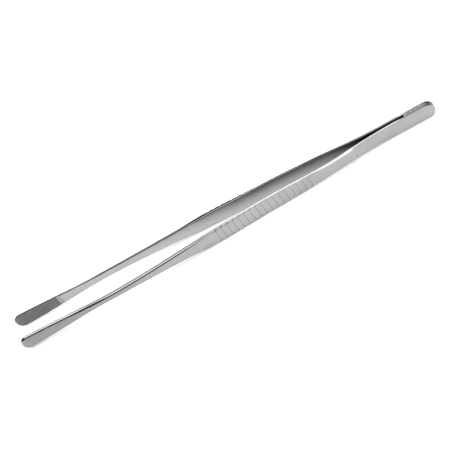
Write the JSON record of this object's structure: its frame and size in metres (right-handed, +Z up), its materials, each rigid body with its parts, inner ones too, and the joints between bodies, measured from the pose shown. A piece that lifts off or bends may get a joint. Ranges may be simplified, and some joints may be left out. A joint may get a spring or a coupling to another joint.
{
  "type": "aquascaping tweezers",
  "caption": "Long straight steel tweezers with welded heel, springy blades, fluted grip and broad serrated jaws, for planting in an aquarium.",
  "frame": {"origin": "under the middle of the whole tweezers, on the surface they lie on", "axes": "+X from the jaws to the heel, Y across the opening of the two blades, +Z up across the width of the blades"},
  "size_m": [0.3, 0.022, 0.0134],
  "materials": {
    "blade_steel": "satin, finely brushed along the blade, with polished edges",
    "weld_steel": "ground weld, mottled light and dark"
  },
  "bodies": {
    "heel": {"front_blade_heel": "blade_steel", "rear_blade_heel": "blade_steel", "heel_filler": "blade_steel", "heel_weld": "weld_steel"},
    "front_leg": {"front_blade_shoulder": "blade_steel", "front_blade_grip": "blade_steel", "front_blade_jaw": "blade_steel"},
    "rear_leg": {"rear_blade_shoulder": "blade_steel", "rear_blade_grip": "blade_steel", "rear_blade_jaw": "blade_steel"}
  },
  "joints": [
    {"name": "front_leg_flex", "type": "hinge", "parent": "heel", "child": "front_leg", "pos_m": [0.11, -0.0016, 0.0067], "axis": [0, 0, -1], "range_deg": [0, 1.91], "stiffness_Nm_per_rad": 12},
    {"name": "rear_leg_flex", "type": "hinge", "parent": "heel", "child": "rear_leg", "pos_m": [0.11, 0.0016, 0.0067], "axis": [0, 0, 1], "range_deg": [0, 1.91], "stiffness_Nm_per_rad": 12}
  ]
}
